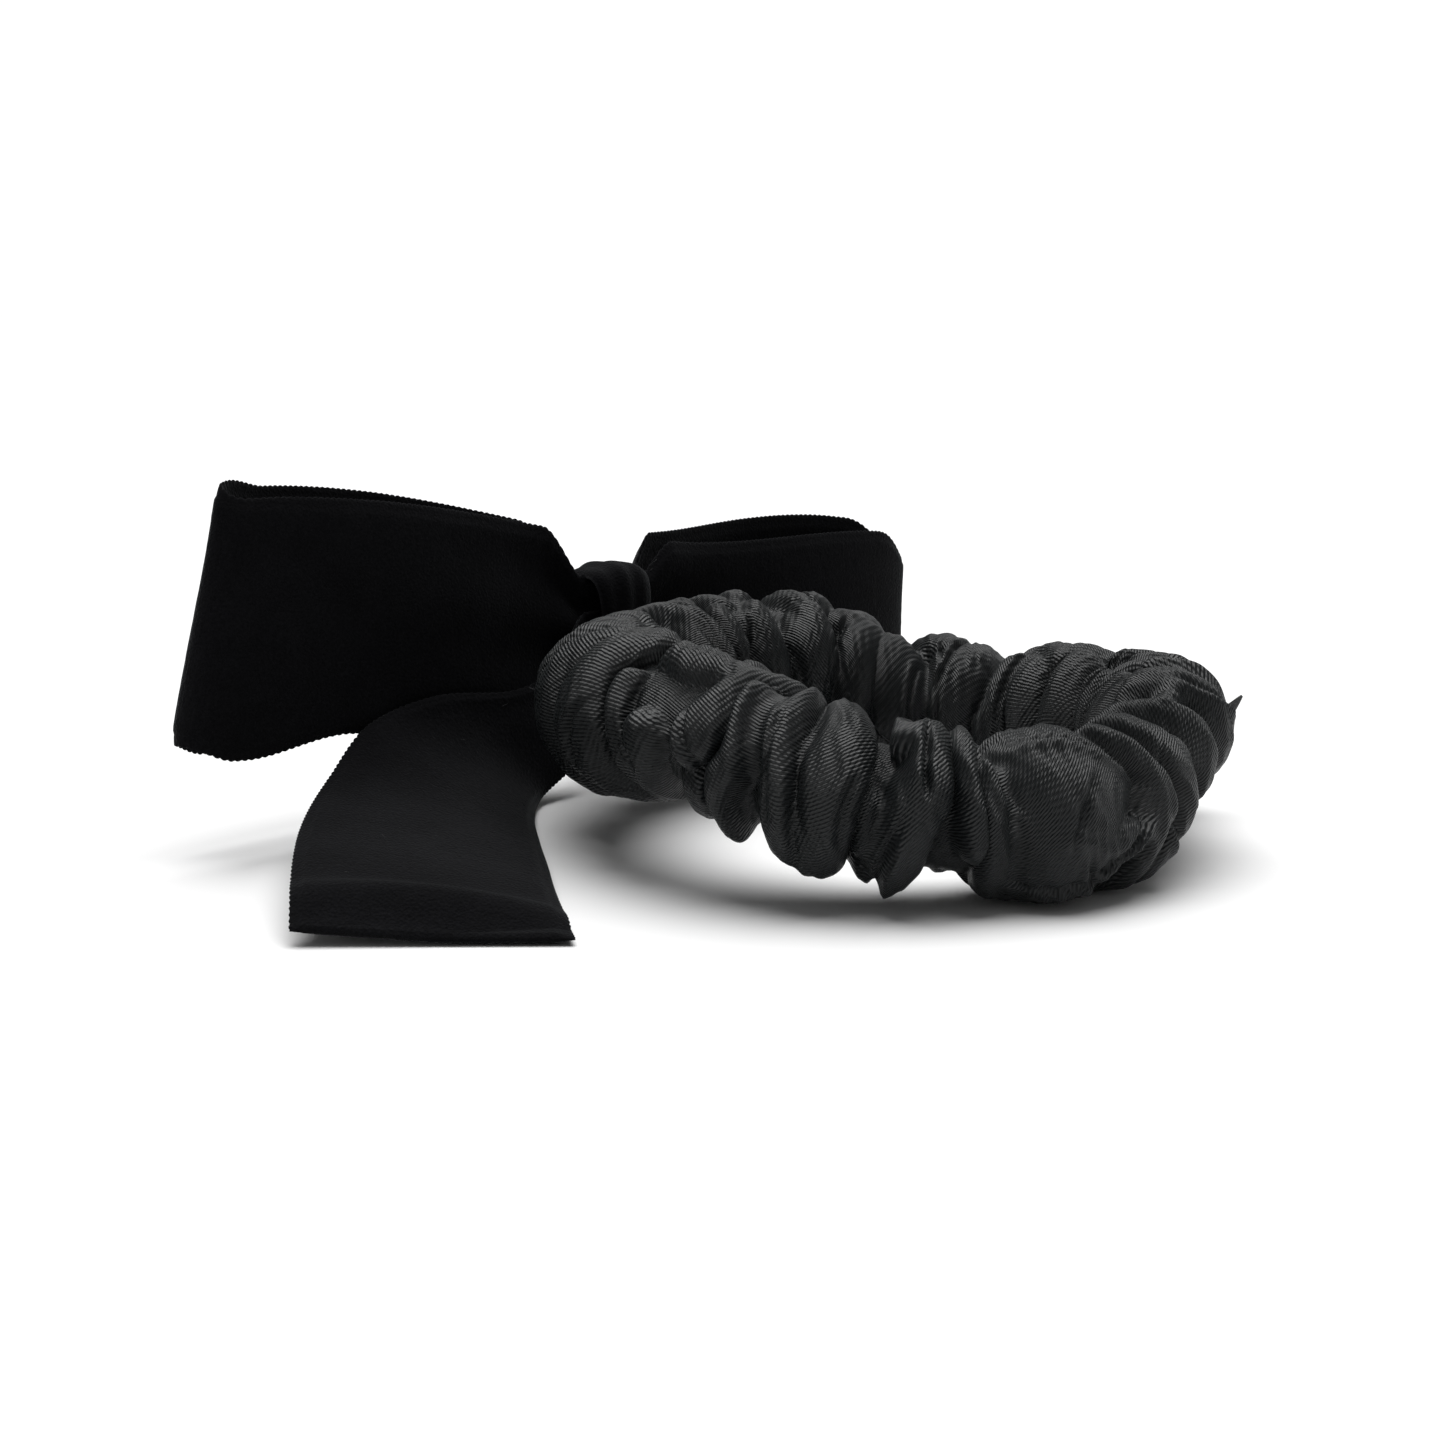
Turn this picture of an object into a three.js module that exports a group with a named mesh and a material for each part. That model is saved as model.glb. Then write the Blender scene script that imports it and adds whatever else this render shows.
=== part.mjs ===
// A hair scrunchie with a velvet ribbon bow, in millimetres, +Z up.
// It is designed about the middle of its ring, lying on z = 0 with the bow at -Y.
// The bow's tails prop up the near side of the ring. The last lines move the origin
// to the middle of the underside of the whole piece.
import * as THREE from "three";

// ---------- sizes ----------
// Gathered cover and the elastic inside it
const ringRadius = 28.5; // centre line of the ring, seen from above
const coverRadius = 8.4; // outside of the gathers
const boreRadius = 4.2; // channel that the elastic runs in
const elasticWidth = 6;
const elasticThickness = 1;
const coverSettle = 0.3; // how far the gathers flatten where they lie on the surface
const splitGap = 0.4; // between the half that stays and the half that stretches away
// How far the ring is lifted off the surface every 30 degrees from +X, anticlockwise
const ringLift = [7.5, 2.8, 0, 0, 2.5, 1.5, 0, 1.3, 6.3, 7.3, 6.5, 6.9];

// Velvet ribbon
const ribbonWidth = 24.8;
const ribbonThickness = 1;
const loopLength = 53.4; // from where a loop leaves the knot to the fold at its tip
const rightLoopRise = 8; // degrees
const leftLoopClearance = 0.9; // left loop's tip above the surface
const tailsWidth = 10.8; // tails gathered by the knot

// Knot: a narrow wrap over the middle of the loops and the tails
const knotWidth = 9;
const wrapWall = 1;
const knotRise = 1.4; // middle of the knot above the ring's centre line
const coreHeight = 14; // ribbon gathered by the knot
const coreThickness = 2.4;
const rootGap = 0.9; // from the side of the wrap to where each loop and tail begins

// Thread
const threadRadius = 0.3;
const seamInset = 0.8; // long seam from the bore's wall, on the hair side
const tackLength = 5;
const tackSpacing = 5;
const joinStitchAngle = 262; // degrees, where the elastic's ends overlap
const closingSeamAngle = 150; // degrees, where the cover's two ends are joined

// Clearances
const layerGap = 0.3;
const threadZone = 2 * (layerGap + threadRadius); // room for one thread between two layers
const coreClearance = 1; // half the gap from the core's sides to the loops

// ---------- materials ----------
function cloth(color, roughness) {
  return new THREE.MeshStandardMaterial({ color, roughness, metalness: 0 });
}
const twill = cloth(0x2b2f31, 0.7);
const velvet = cloth(0x141416, 0.95);
const elasticWeb = cloth(0x1c1c1e, 0.85);
const thread = cloth(0x202224, 0.6);

// ---------- solids from sections ----------
// Each section is a ring of points, all of one length. Neighbouring sections are
// joined by quads. A closed loft joins the last section to the first; an open one is
// capped by strips between the two halves of its end sections.
function loft(sections, closed) {
  const count = sections[0].length;
  const positions = sections.flat().flatMap((p) => [p.x, p.y, p.z]);
  const faces = [];
  const quad = (a, b, c, d) => faces.push(a, b, c, a, c, d);
  const steps = closed ? sections.length : sections.length - 1;
  for (let s = 0; s < steps; s++) {
    const here = s * count;
    const next = ((s + 1) % sections.length) * count;
    for (let k = 0; k < count; k++) {
      const l = (k + 1) % count;
      quad(here + k, here + l, next + l, next + k);
    }
  }
  if (!closed) {
    const last = (sections.length - 1) * count;
    for (let k = 0; k < count / 2 - 1; k++) {
      const mate = count - 1 - k;
      quad(k, mate, mate - 1, k + 1);
      quad(last + k, last + k + 1, last + mate - 1, last + mate);
    }
  }
  if (signedVolume(positions, faces) < 0) faces.reverse();
  const geometry = new THREE.BufferGeometry();
  geometry.setAttribute("position", new THREE.Float32BufferAttribute(positions, 3));
  geometry.setIndex(faces);
  geometry.computeVertexNormals();
  return geometry;
}

function signedVolume(positions, faces) {
  const corner = (i) => new THREE.Vector3().fromArray(positions, 3 * i);
  let volume = 0;
  for (let f = 0; f < faces.length; f += 3) {
    const [a, b, c] = [faces[f], faces[f + 1], faces[f + 2]].map(corner);
    volume += a.dot(b.cross(c)) / 6;
  }
  return volume;
}

// ---------- ring ----------
// Height of the ring's centre line: a closed cubic through ringLift.
function ringHeight(angle) {
  const count = ringLift.length;
  const place = THREE.MathUtils.euclideanModulo(angle / 360, 1) * count;
  const i = Math.floor(place);
  const t = place - i;
  const [a, b, c, d] = [-1, 0, 1, 2].map((k) => ringLift[(i + k + count) % count]);
  const lift = b + 0.5 * t * (c - a + t * (2 * a - 5 * b + 4 * c - d + t * (3 * (b - c) + d - a)));
  return coverRadius - coverSettle + lift;
}

// A point beside the ring's centre line: outwards and up from it.
function besideRing(angle, out, up) {
  const turn = THREE.MathUtils.degToRad(angle);
  const radius = ringRadius + out;
  const z = ringHeight(angle) + up;
  return new THREE.Vector3(radius * Math.cos(turn), radius * Math.sin(turn), Math.max(0, z));
}

// Round section; the half-step turn puts a flat facet underneath.
function roundSection(angle, radius, sides) {
  return Array.from({ length: sides }, (_, k) => {
    const turn = (2 * Math.PI * (k + 0.5)) / sides;
    return besideRing(angle, radius * Math.cos(turn), radius * Math.sin(turn));
  });
}

function angles(from, to, steps) {
  return Array.from({ length: steps + 1 }, (_, i) => from + ((to - from) * i) / steps);
}

// Half of the ring between two angles, kept clear of the split plane y = 0.
const splitAngle = THREE.MathUtils.radToDeg(splitGap / 2 / (ringRadius - coverRadius));

function coverHalf(from) {
  const steps = 24;
  const sides = 16;
  const span = angles(from + splitAngle, from + 180 - splitAngle, steps);
  const outside = span.map((a) => roundSection(a, coverRadius, sides));
  const inside = span.map((a) => roundSection(a, boreRadius, sides)).reverse();
  return loft([...outside, ...inside], true);
}

function elasticHalf(from) {
  const steps = 24;
  const [w, t] = [elasticWidth / 2, elasticThickness / 2];
  const span = angles(from + splitAngle, from + 180 - splitAngle, steps);
  const corners = [[-t, -w], [t, -w], [t, w], [-t, w]];
  return loft(span.map((a) => corners.map(([out, up]) => besideRing(a, out, up))), false);
}

// Thread carried along a list of points, by a small six-sided section.
function threadAlong(points, closed) {
  const sides = 6;
  const curve = new THREE.CatmullRomCurve3(points, closed);
  const steps = points.length * 2;
  const frames = curve.computeFrenetFrames(steps, closed);
  const stations = closed ? steps : steps + 1;
  const sections = Array.from({ length: stations }, (_, i) => {
    const centre = curve.getPointAt(i / steps);
    return Array.from({ length: sides }, (_, k) => {
      const turn = (2 * Math.PI * k) / sides;
      return centre
        .clone()
        .addScaledVector(frames.normals[i], threadRadius * Math.cos(turn))
        .addScaledVector(frames.binormals[i], threadRadius * Math.sin(turn));
    });
  });
  return loft(sections, closed);
}

function longSeamHalf(from) {
  const span = angles(from + splitAngle, from + 180 - splitAngle, 12);
  return threadAlong(span.map((a) => besideRing(a, seamInset - boreRadius, 0)), false);
}

// Stitches across the overlapped ends of the elastic, on its outer face.
function elasticJoinStitch() {
  const out = elasticThickness / 2 + layerGap + threadRadius;
  const reach = elasticWidth / 3;
  return threadAlong([-reach, 0, reach].map((up) => besideRing(joinStitchAngle, out, up)), false);
}

// Stitches that close the cover's tube, drawn round its outside.
function closingSeam() {
  const steps = 12;
  const radius = coverRadius + layerGap + threadRadius;
  const points = Array.from({ length: steps }, (_, k) => {
    const turn = (2 * Math.PI * k) / steps;
    return besideRing(closingSeamAngle, radius * Math.cos(turn), radius * Math.sin(turn));
  });
  return threadAlong(points, true);
}

// ---------- knot, from the ring outwards ----------
const bowHeight = ringHeight(270) + knotRise;
const ringFace = -(ringRadius + coverRadius);
const wrapBack = ringFace - threadZone;
const cavityBack = wrapBack - wrapWall;
const tailsBack = cavityBack - threadZone;
const tailsFront = tailsBack - ribbonThickness;
const coreBack = tailsFront - layerGap;
const coreFront = coreBack - coreThickness;
const cavityFront = coreFront - threadZone;
const wrapFront = cavityFront - wrapWall;
const tailsPlane = (tailsBack + tailsFront) / 2;
const loopsPlane = (coreBack + coreFront) / 2;
const cavityHeight = coreHeight + 2 * threadZone;
const knotHeight = cavityHeight + 2 * wrapWall;
const tailsHeight = bowHeight + (tailsWidth - coreHeight) / 2;
const rootX = knotWidth / 2 + rootGap;
const coreWidth = 2 * (rootX - 1.4 * coreClearance);

function block(width, back, front, height, middle) {
  const geometry = new THREE.BoxGeometry(width, back - front, height);
  geometry.translate(0, (back + front) / 2, middle);
  return geometry;
}

// The wrap is a flat band round the layers, open at its left and right.
function wrapBand() {
  const x = knotWidth / 2;
  const section = (outer, inner, outerZ, innerZ) => [
    new THREE.Vector3(-x, outer, bowHeight + outerZ),
    new THREE.Vector3(x, outer, bowHeight + outerZ),
    new THREE.Vector3(x, inner, bowHeight + innerZ),
    new THREE.Vector3(-x, inner, bowHeight + innerZ),
  ];
  const [outerZ, innerZ] = [knotHeight / 2, cavityHeight / 2];
  return loft(
    [
      section(wrapBack, cavityBack, -outerZ, -innerZ),
      section(wrapBack, cavityBack, outerZ, innerZ),
      section(wrapFront, cavityFront, outerZ, innerZ),
      section(wrapFront, cavityFront, -outerZ, -innerZ),
    ],
    true,
  );
}

// Thread wound once round the pinched layers inside the wrap.
function pinchThread() {
  const reach = (coreHeight + threadZone) / 2;
  const back = tailsBack + threadZone / 2;
  const front = coreFront - threadZone / 2;
  const corners = [[back, -reach], [back, reach], [front, reach], [front, -reach]];
  const points = corners.flatMap(([y, z], i) => {
    const [nextY, nextZ] = corners[(i + 1) % corners.length];
    const between = (t) => new THREE.Vector3(0, y + (nextY - y) * t, bowHeight + z + (nextZ - z) * t);
    return [0.04, 0.5, 0.96].map(between);
  });
  return threadAlong(points, true);
}

// Upright stitch in the gap between the cover and the back of the wrap.
function backStitch(x, length) {
  const y = ringFace - threadZone / 2;
  const middle = ringHeight(270);
  return threadAlong(
    [-0.5, 0, 0.5].map((t) => new THREE.Vector3(x, y, middle + t * length)),
    false,
  );
}

// ---------- ribbon ----------
// A strip between an upper and a lower edge, with the ribbon's thickness.
function ribbonStrip(upper, lower, steps) {
  const top = new THREE.CatmullRomCurve3(upper);
  const bottom = new THREE.CatmullRomCurve3(lower);
  const sections = angles(0, 1, steps).map((t) => {
    const [u, l] = [top.getPoint(t), bottom.getPoint(t)];
    const along = top.getTangent(t).add(bottom.getTangent(t));
    const normal = along.cross(u.clone().sub(l)).setLength(ribbonThickness / 2);
    return [
      l.clone().add(normal),
      u.clone().add(normal),
      u.clone().sub(normal),
      l.clone().sub(normal),
    ];
  });
  return loft(sections, false);
}

// A loop seen from above, out along the front, round the fold and back: shares of
// its length, and distances forward of the middle of the core.
const loopPath = [
  [0, 0.7],
  [0.16, 3.1],
  [0.46, 5],
  [0.76, 4.8],
  [0.94, 3.1],
  [1, 0.8],
  [0.94, -1.3],
  [0.72, -1.9],
  [0.42, -1.7],
  [0.16, -1],
  [0, -0.6],
];
const spreadShare = 0.2; // share of a loop over which the pinch opens to the full width
const leftLoopOpenness = 1.25;

function ribbonLoop(side, rise, openness) {
  const edge = (sign) =>
    loopPath.map(([share, forward]) => {
      const along = share * loopLength;
      const spread = THREE.MathUtils.smoothstep(share, 0, spreadShare);
      const half = (sign * THREE.MathUtils.lerp(coreHeight, ribbonWidth, spread)) / 2;
      const outwards = along - half * Math.sin(rise) * spread;
      const upwards = along * Math.tan(rise) + half * Math.cos(rise);
      const y = loopsPlane - (forward > 0 ? openness : 1) * forward;
      return new THREE.Vector3(side * (rootX + outwards), y, bowHeight + upwards);
    });
  return ribbonStrip(edge(1), edge(-1), 44);
}

// The left loop droops until its tip is just above the surface.
const leftLoopDroop = Math.atan((bowHeight - ribbonWidth / 2 - leftLoopClearance) / loopLength);

// Edges of a tail from the knot to its cut end. The lower edge is given by distance out
// from the knot's middle, distance back from the tails' plane, and height above the
// surface. The upper edge is one ribbon width from it, leaning by the shares that follow:
// out, back and up.
const tailLower = [
  [9.4, 2.8, 4],
  [16, 4.2, 1.2],
  [24, 11.6, 1.2],
  [31.2, 20.2, 1.3],
  [38, 28.8, 1.4],
  [44.8, 37.4, 1.3],
  [52.4, 48, 0.8],
];
const rightTailLean = [
  [0.347, -0.032, 0.548],
  [0.565, -0.089, 0.532],
  [0.621, -0.379, 0.387],
  [0.677, -0.548, 0.278],
  [0.718, -0.605, 0.222],
  [0.742, -0.629, 0.173],
  [0.702, -0.734, 0.073],
];
const leftTailLean = [
  [0.347, -0.032, 0.524],
  [0.565, -0.089, 0.484],
  [0.621, -0.379, 0.331],
  [0.677, -0.548, 0.222],
  [0.718, -0.605, 0.153],
  [0.742, -0.629, 0.109],
  [0.702, -0.734, 0.04],
];

function ribbonTail(side, lean) {
  const edge = (sign, points) => {
    const root = [rootX, 0, tailsHeight + (sign * tailsWidth) / 2];
    return [root, ...points].map(([out, back, z]) => new THREE.Vector3(side * out, tailsPlane + back, z));
  };
  const upper = tailLower.map((p, i) => p.map((v, axis) => v + lean[i][axis] * ribbonWidth));
  return ribbonStrip(edge(1, upper), edge(-1, tailLower), 28);
}

// ---------- assembly ----------
const scrunchie = new THREE.Group();

function add(name, geometry, material) {
  const mesh = new THREE.Mesh(geometry, material);
  mesh.name = name;
  scrunchie.add(mesh);
  return mesh;
}

add("cover_bow_half", coverHalf(180), twill);
add("cover_far_half", coverHalf(0), twill);
add("elastic_bow_half", elasticHalf(180), elasticWeb);
add("elastic_far_half", elasticHalf(0), elasticWeb);
add("long_seam_thread_bow_half", longSeamHalf(180), thread);
add("long_seam_thread_far_half", longSeamHalf(0), thread);
add("closing_seam_thread", closingSeam(), thread);
add("elastic_join_stitch", elasticJoinStitch(), thread);
add("knot_wrap", wrapBand(), velvet);
add("knot_wrap_stitch", backStitch(0, 1.6 * tackLength), thread);
add("pinch_thread", pinchThread(), thread);
add("tack_stitch_right", backStitch(tackSpacing / 2, tackLength), thread);
add("tack_stitch_left", backStitch(-tackSpacing / 2, tackLength), thread);
add("bow_center", block(coreWidth, coreBack, coreFront, coreHeight, bowHeight), velvet);
add("tails_center", block(coreWidth, tailsBack, tailsFront, tailsWidth, tailsHeight), velvet);
add("right_loop", ribbonLoop(1, THREE.MathUtils.degToRad(rightLoopRise), 1), velvet);
add("left_loop", ribbonLoop(-1, -leftLoopDroop, leftLoopOpenness), velvet);
add("right_tail", ribbonTail(1, rightTailLean), velvet);
add("left_tail", ribbonTail(-1, leftTailLean), velvet);

const box = new THREE.Box3().setFromObject(scrunchie, true);
scrunchie.position.set(-(box.min.x + box.max.x) / 2, -(box.min.y + box.max.y) / 2, -box.min.z);

export default scrunchie;
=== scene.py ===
import bpy
import numpy as np
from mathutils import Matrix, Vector


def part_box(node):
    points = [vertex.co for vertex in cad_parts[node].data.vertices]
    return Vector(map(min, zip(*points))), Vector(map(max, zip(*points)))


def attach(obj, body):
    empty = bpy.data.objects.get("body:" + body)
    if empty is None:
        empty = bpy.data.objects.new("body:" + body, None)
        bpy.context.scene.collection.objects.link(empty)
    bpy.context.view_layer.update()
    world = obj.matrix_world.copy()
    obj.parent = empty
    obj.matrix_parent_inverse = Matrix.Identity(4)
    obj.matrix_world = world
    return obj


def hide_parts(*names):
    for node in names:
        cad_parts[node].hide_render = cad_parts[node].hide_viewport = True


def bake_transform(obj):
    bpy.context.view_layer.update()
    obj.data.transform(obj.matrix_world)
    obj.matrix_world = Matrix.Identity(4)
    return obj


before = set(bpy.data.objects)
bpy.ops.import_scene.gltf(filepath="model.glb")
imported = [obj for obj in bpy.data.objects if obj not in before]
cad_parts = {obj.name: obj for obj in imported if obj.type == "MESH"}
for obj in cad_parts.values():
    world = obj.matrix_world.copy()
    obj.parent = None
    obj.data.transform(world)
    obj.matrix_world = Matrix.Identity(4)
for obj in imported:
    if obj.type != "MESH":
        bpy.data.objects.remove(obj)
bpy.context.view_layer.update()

mm = 0.001

# The ring's middle in plan, from the far end of the elastic: 28.5 mm radius and half of its 1 mm thickness.
ringMiddle = np.array([0.0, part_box("elastic_far_half")[1].y / mm - 29.0, 0.0])


def toLinear(hexCode):
    # sRGB to linear: below 0.04045 divide by 12.92, above it the 2.4 power
    shares = np.array([int(hexCode[i:i + 2], 16) / 255 for i in (1, 3, 5)])
    linear = np.where(shares <= 0.04045, shares / 12.92, ((shares + 0.055) / 1.055) ** 2.4)
    return (*linear.tolist(), 1.0)


def addNode(tree, kind, inputs=None, **attributes):
    # adds one node and sets its attributes; each of its inputs gets a value, or a link from an earlier output
    node = tree.nodes.new(kind)
    for name, value in attributes.items():
        setattr(node, name, value)
    for socket, value in (inputs or {}).items():
        if isinstance(value, bpy.types.NodeSocket):
            tree.links.new(value, node.inputs[socket])
        else:
            node.inputs[socket].default_value = value
    return node


def smooth(x, low, high):
    # 3t^2 - 2t^3 of the share of the way from low to high
    t = np.clip((x - low) / (high - low), 0, 1)
    return t * t * (3 - 2 * t)


def carryThrough(points, shares):
    # Catmull-Rom: each stretch is the cubic whose slope at a point is half the step between its neighbours
    p = np.asarray(points, float)
    p = np.vstack([2 * p[0] - p[1], p, 2 * p[-1] - p[-2]])
    place = np.asarray(shares) * (len(p) - 3)
    i = np.minimum(place.astype(int), len(p) - 4)
    t = (place - i)[..., None]
    a, b, c, d = (p[i + k] for k in range(4))
    return b + 0.5 * t * (c - a + t * (2 * a - 5 * b + 4 * c - d + t * (3 * (b - c) + d - a)))


def unit(v):
    # each vector over its own length
    return v / np.maximum(np.linalg.norm(v, axis=-1, keepdims=True), 1e-9)


def gridPiece(name, points, closedAlong, closedAround, cloth=None, capped=False):
    # Quads over a grid of points in mm about the ring's middle; the last row or column joins the first
    # where the grid is closed. cloth holds the flat position of every point, in mm, for the weave.
    along, around = points.shape[:2]
    index = np.arange(along * around).reshape(along, around)
    rows = index if closedAlong else index[:-1]
    nextRows = np.roll(index, -1, 0) if closedAlong else index[1:]
    quads = np.stack([rows, nextRows, np.roll(nextRows, -1, 1), np.roll(rows, -1, 1)], -1)
    quads = (quads if closedAround else quads[:, :-1]).reshape(-1, 4)
    if capped:
        half = around // 2
        k = np.arange(half - 1)
        m = around - 1 - k
        first = np.stack([k, k + 1, m - 1, m], -1)
        last = (along - 1) * around + first[:, ::-1]
        quads = np.vstack([quads, first, last])
    place = (points + ringMiddle).reshape(-1, 3) * mm
    mesh = bpy.data.meshes.new(name)
    mesh.from_pydata(place.tolist(), [], quads.tolist())
    if signedVolume(place, quads) < 0:
        mesh.flip_normals()
    if cloth is not None:
        uvLayer = mesh.uv_layers.new(name="cloth")
        vertexOf = np.empty(len(mesh.loops), np.int32)
        mesh.loops.foreach_get("vertex_index", vertexOf)
        flat = cloth.reshape(-1, 2) * mm
        uvLayer.data.foreach_set("uv", flat[vertexOf].ravel().astype(np.float32))
    mesh.shade_smooth()
    mesh.update()
    piece = bpy.data.objects.new(name, mesh)
    bpy.context.scene.collection.objects.link(piece)
    return piece


def signedVolume(place, quads):
    # a sixth of the sum of a . (b x c) over the two triangles of each quad
    a, b, c, d = (place[quads[:, k]] for k in range(4))
    return (np.einsum("ij,ij->i", a, np.cross(b, c)) + np.einsum("ij,ij->i", a, np.cross(c, d))).sum() / 6


def tube(path, radius, sides, closed=False):
    # a circle of that radius carried along a path, square to it, its zero kept near the upward direction
    path = np.asarray(path, float)
    if closed:
        forward = unit(np.roll(path, -1, 0) - np.roll(path, 1, 0))
    else:
        forward = unit(np.gradient(path, axis=0))
    guide = np.where(np.abs(forward[:, 2:3]) > 0.9, [[1.0, 0, 0]], [[0, 0, 1.0]])
    side = unit(np.cross(forward, guide))
    up = np.cross(side, forward)
    turn = np.linspace(0, 2 * np.pi, sides, endpoint=False)
    radius = np.broadcast_to(np.asarray(radius, float), (len(path),))[:, None, None]
    cosT, sinT = np.cos(turn)[None, :, None], np.sin(turn)[None, :, None]
    return path[:, None] + radius * (cosT * side[:, None] + sinT * up[:, None])


def joinGrids(name, grids):
    # many small grids of one size in one mesh, each closed round its section and capped
    stack = np.stack(grids)
    count, along, around = stack.shape[:3]
    index = np.arange(along * around).reshape(along, around)
    nextRound = np.roll(index, -1, 1)
    quads = np.stack([index[:-1], index[1:], nextRound[1:], nextRound[:-1]], -1).reshape(-1, 4)
    k = np.arange(around // 2 - 1)
    m = around - 1 - k
    first = np.stack([k, k + 1, m - 1, m], -1)
    quads = np.vstack([quads, first, (along - 1) * around + first[:, ::-1]])
    allQuads = (quads[None] + (np.arange(count) * along * around)[:, None, None]).reshape(-1, 4)
    place = (stack + ringMiddle).reshape(-1, 3) * mm
    mesh = bpy.data.meshes.new(name)
    mesh.from_pydata(place.tolist(), [], allQuads.tolist())
    if signedVolume(place - place.mean(0), allQuads) < 0:
        mesh.flip_normals()
    mesh.shade_smooth()
    mesh.update()
    piece = bpy.data.objects.new(name, mesh)
    bpy.context.scene.collection.objects.link(piece)
    return piece


def startMaterial(name):
    # a new material with its node tree and its surface shader
    material = bpy.data.materials.new(name)
    material.use_nodes = True
    tree = material.node_tree
    shader = tree.nodes["Principled BSDF"]
    return material, tree, shader


twillCloth = {
    "dark": "#060708",
    "light": "#171a1b",
    "ribPitch": 0.4,  # mm; the real cloth's is about 0.35, drawn as coarse as it needs to show
    "ribSlope": 0.22,
    "beadPitch": 0.62,  # mm along a rib
    "beadSlope": -0.55,
    "roughness": 0.4,
    "bump": 0.12,  # mm
}


def makeTwill():
    # Polyester satin twill, woven and piece dyed: fine raised ribs with a soft shine on the crests of
    # the folds,
    # near black in the hollows.
    material, tree, shader = startMaterial("woven_polyester_satin_twill")
    uv = addNode(tree, "ShaderNodeUVMap", uv_map="cloth").outputs[0]
    drift = addNode(tree, "ShaderNodeTexNoise", {"Vector": uv, "Scale": 90.0, "Detail": 2.0}).outputs[0]
    yarn = addNode(tree, "ShaderNodeTexNoise", {"Vector": uv, "Scale": 2600.0, "Detail": 1.0}).outputs[0]
    crush = addNode(tree, "ShaderNodeTexNoise", {"Vector": uv, "Scale": 160.0, "Detail": 3.0}).outputs[0]
    # ribs and the beads along them are sines of the distance across the cloth, which drifts a little
    lengthwise = addNode(tree, "ShaderNodeSeparateXYZ", {0: uv}).outputs[0]
    slanted = addNode(tree, "ShaderNodeVectorMath", {0: uv, 1: (twillCloth["ribSlope"], 1, 0)},
                      operation="DOT_PRODUCT").outputs["Value"]
    across = addNode(tree, "ShaderNodeMath", {0: drift, 1: 0.6 * mm, 2: slanted},
                     operation="MULTIPLY_ADD").outputs[0]
    ribTurn = addNode(tree, "ShaderNodeMath", {0: across, 1: 2 * np.pi / (twillCloth["ribPitch"] * mm)},
                      operation="MULTIPLY").outputs[0]
    ribs = addNode(tree, "ShaderNodeMath", {0: ribTurn}, operation="SINE").outputs[0]
    beadPlace = addNode(tree, "ShaderNodeMath", {0: across, 1: twillCloth["beadSlope"], 2: lengthwise},
                        operation="MULTIPLY_ADD").outputs[0]
    beadTurn = addNode(tree, "ShaderNodeMath", {0: beadPlace, 1: 2 * np.pi / (twillCloth["beadPitch"] * mm)},
                       operation="MULTIPLY").outputs[0]
    beads = addNode(tree, "ShaderNodeMath", {0: beadTurn}, operation="SINE").outputs[0]
    base = addNode(tree, "ShaderNodeMath", {0: yarn, 1: 0.16, 2: 0.5}, operation="MULTIPLY_ADD").outputs[0]
    beaded = addNode(tree, "ShaderNodeMath", {0: beads, 1: 0.2, 2: base}, operation="MULTIPLY_ADD").outputs[0]
    height = addNode(tree, "ShaderNodeMath", {0: ribs, 1: 0.36, 2: beaded},
                     operation="MULTIPLY_ADD").outputs[0]
    # the colour follows the height: darker in the grooves between ribs and beads and lighter on their crests,
    # which is painted shade and painted highlight; the yarn noise in it is random tone of the yarns
    dark, light = toLinear(twillCloth["dark"]), toLinear(twillCloth["light"])
    colour = addNode(tree, "ShaderNodeMix", {0: height, 6: dark, 7: light}, data_type="RGBA").outputs[2]
    rough = addNode(tree, "ShaderNodeMath", {0: crush, 1: 0.14, 2: twillCloth["roughness"] - 0.07},
                    operation="MULTIPLY_ADD").outputs[0]
    relief = {"Height": height, "Strength": 0.9, "Distance": twillCloth["bump"] * mm}
    bump = addNode(tree, "ShaderNodeBump", relief).outputs[0]
    tree.links.new(colour, shader.inputs["Base Color"])
    tree.links.new(rough, shader.inputs["Roughness"])
    tree.links.new(bump, shader.inputs["Normal"])
    shader.inputs["Specular IOR Level"].default_value = 0.3
    shader.inputs["Sheen Weight"].default_value = 0.02
    shader.inputs["Sheen Roughness"].default_value = 0.4
    shader.inputs["Sheen Tint"].default_value = toLinear("#dfeaec")
    return material


velvetPile = {
    "deep": "#060607",
    # the lighter colour is mixed in where the crushed pile turns to the light: painted sheen
    "tip": "#131315",
    "pileGrain": 0.28,  # mm, tufts of pile; real ones are near 0.15, drawn as coarse as they need to show
    "sheen": 0.085,
    "bump": 0.16,  # mm
}


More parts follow.
